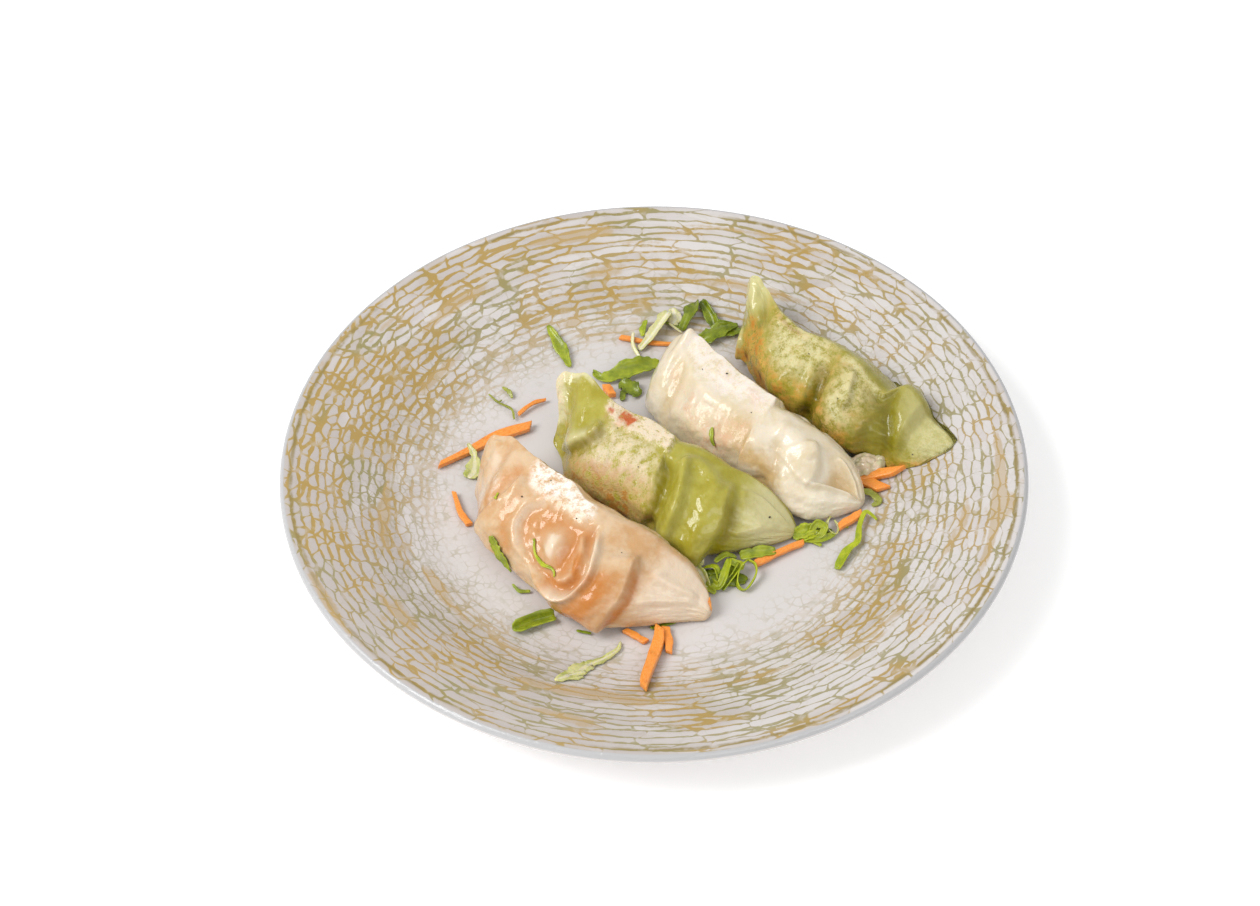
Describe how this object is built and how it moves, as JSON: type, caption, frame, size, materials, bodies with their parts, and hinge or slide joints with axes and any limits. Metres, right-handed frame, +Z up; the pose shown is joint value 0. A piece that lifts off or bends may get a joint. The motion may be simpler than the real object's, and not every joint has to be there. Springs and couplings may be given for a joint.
{
  "type": "gyoza dumplings on a plate",
  "caption": "Pan-fried gyoza in peach, green and cream dough, with shredded carrot and green leaves, on a shallow coupe plate with a speckled net glaze",
  "frame": {"origin": "middle of the plate, at the underside of its foot ring", "axes": "+Z up, -Y towards the diner, +X to the diner's right"},
  "size_m": [0.21, 0.21, 0.0297],
  "materials": {
    "glaze": "white glaze with an ochre and green net",
    "dough_orange": "steamed dough, moist",
    "dough_green": "steamed dough, moist",
    "dough_white": "steamed dough, floury",
    "dough_dark_green": "pan-browned dough",
    "carrot": "raw carrot, moist",
    "leaf": "shredded leaf",
    "cabbage": "translucent cabbage"
  },
  "bodies": {
    "root": {"plate": "glaze", "gyoza_orange": "dough_orange", "gyoza_green": "dough_green", "gyoza_white": "dough_white", "gyoza_rear": "dough_dark_green", "carrot_1": "carrot", "carrot_2": "carrot", "carrot_3": "carrot", "carrot_4": "carrot", "carrot_5": "carrot", "carrot_6": "carrot", "carrot_7": "carrot", "carrot_8": "carrot", "carrot_9": "carrot", "carrot_10": "carrot", "carrot_11": "carrot", "carrot_12": "carrot", "leaf_1": "leaf", "leaf_2": "leaf", "leaf_3": "leaf", "leaf_4": "leaf", "leaf_5": "leaf", "leaf_6": "leaf", "leaf_7": "leaf", "leaf_8": "leaf", "leaf_9": "leaf", "leaf_10": "leaf", "leaf_11": "leaf", "leaf_12": "leaf", "leaf_13": "leaf", "leaf_14": "leaf", "leaf_on_gyoza": "leaf", "leaf_heap_1": "leaf", "leaf_heap_2": "leaf", "cabbage": "cabbage"}
  },
  "joints": []
}
